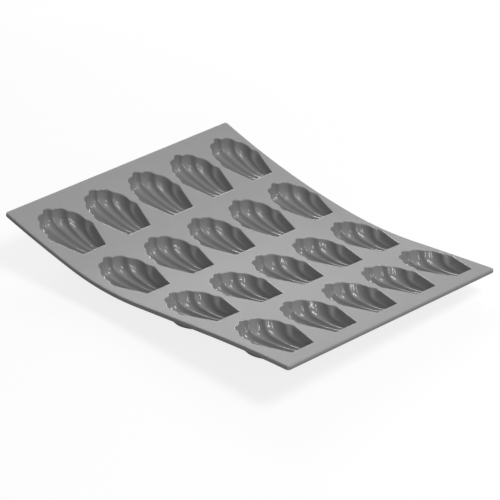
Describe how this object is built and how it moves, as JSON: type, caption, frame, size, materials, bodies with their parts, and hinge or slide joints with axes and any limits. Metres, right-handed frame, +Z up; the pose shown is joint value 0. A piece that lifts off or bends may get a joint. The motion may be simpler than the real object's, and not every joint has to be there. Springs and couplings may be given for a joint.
{
  "type": "madeleine mould",
  "caption": "Flexible silicone baking mould: a thin wavy sheet with rows of shell-shaped fluted cups hanging below it, bending at the webs between rows.",
  "frame": {"origin": "on the table, under the middle of the mould's bounding box", "axes": "+X along the cups from the raised end to the low end, +Y across the rows from the near edge to the far edge, +Z up"},
  "size_m": [0.347, 0.3, 0.0612],
  "materials": {
    "web_silicone": "matte, finely textured",
    "cup_silicone": "smooth satin"
  },
  "bodies": {
    "row_1": {"sheet_row_1": "web_silicone", "cup_1_1": "cup_silicone", "cup_1_2": "cup_silicone", "cup_1_3": "cup_silicone", "cup_1_4": "cup_silicone", "cup_1_5": "cup_silicone"},
    "row_2": {"sheet_row_2": "web_silicone", "cup_2_1": "cup_silicone", "cup_2_2": "cup_silicone", "cup_2_3": "cup_silicone", "cup_2_4": "cup_silicone", "cup_2_5": "cup_silicone"},
    "row_3": {"sheet_row_3": "web_silicone", "cup_3_1": "cup_silicone", "cup_3_2": "cup_silicone", "cup_3_3": "cup_silicone", "cup_3_4": "cup_silicone", "cup_3_5": "cup_silicone"},
    "row_4": {"sheet_row_4": "web_silicone", "cup_4_1": "cup_silicone", "cup_4_2": "cup_silicone", "cup_4_3": "cup_silicone", "cup_4_4": "cup_silicone", "cup_4_5": "cup_silicone"}
  },
  "joints": [
    {"name": "flex_2_3", "type": "hinge", "parent": "row_3", "child": "row_2", "pos_m": [-0.00256, 0, 0.0217], "axis": [-0.0097, 0.9998, -0.0167], "range_deg": [-50, 50], "stiffness_Nm_per_rad": 2, "springref_deg": 5.16},
    {"name": "flex_1_2", "type": "hinge", "parent": "row_2", "child": "row_1", "pos_m": [-0.08569, 0, 0.03098], "axis": [-0.005, 0.9998, 0.0208], "range_deg": [-50, 50], "stiffness_Nm_per_rad": 2, "springref_deg": 1.43},
    {"name": "flex_3_4", "type": "hinge", "parent": "row_3", "child": "row_4", "pos_m": [0.08095, 0, 0.02504], "axis": [0.0073, -0.9986, 0.0516], "range_deg": [-50, 50], "stiffness_Nm_per_rad": 2, "springref_deg": 1.15}
  ]
}
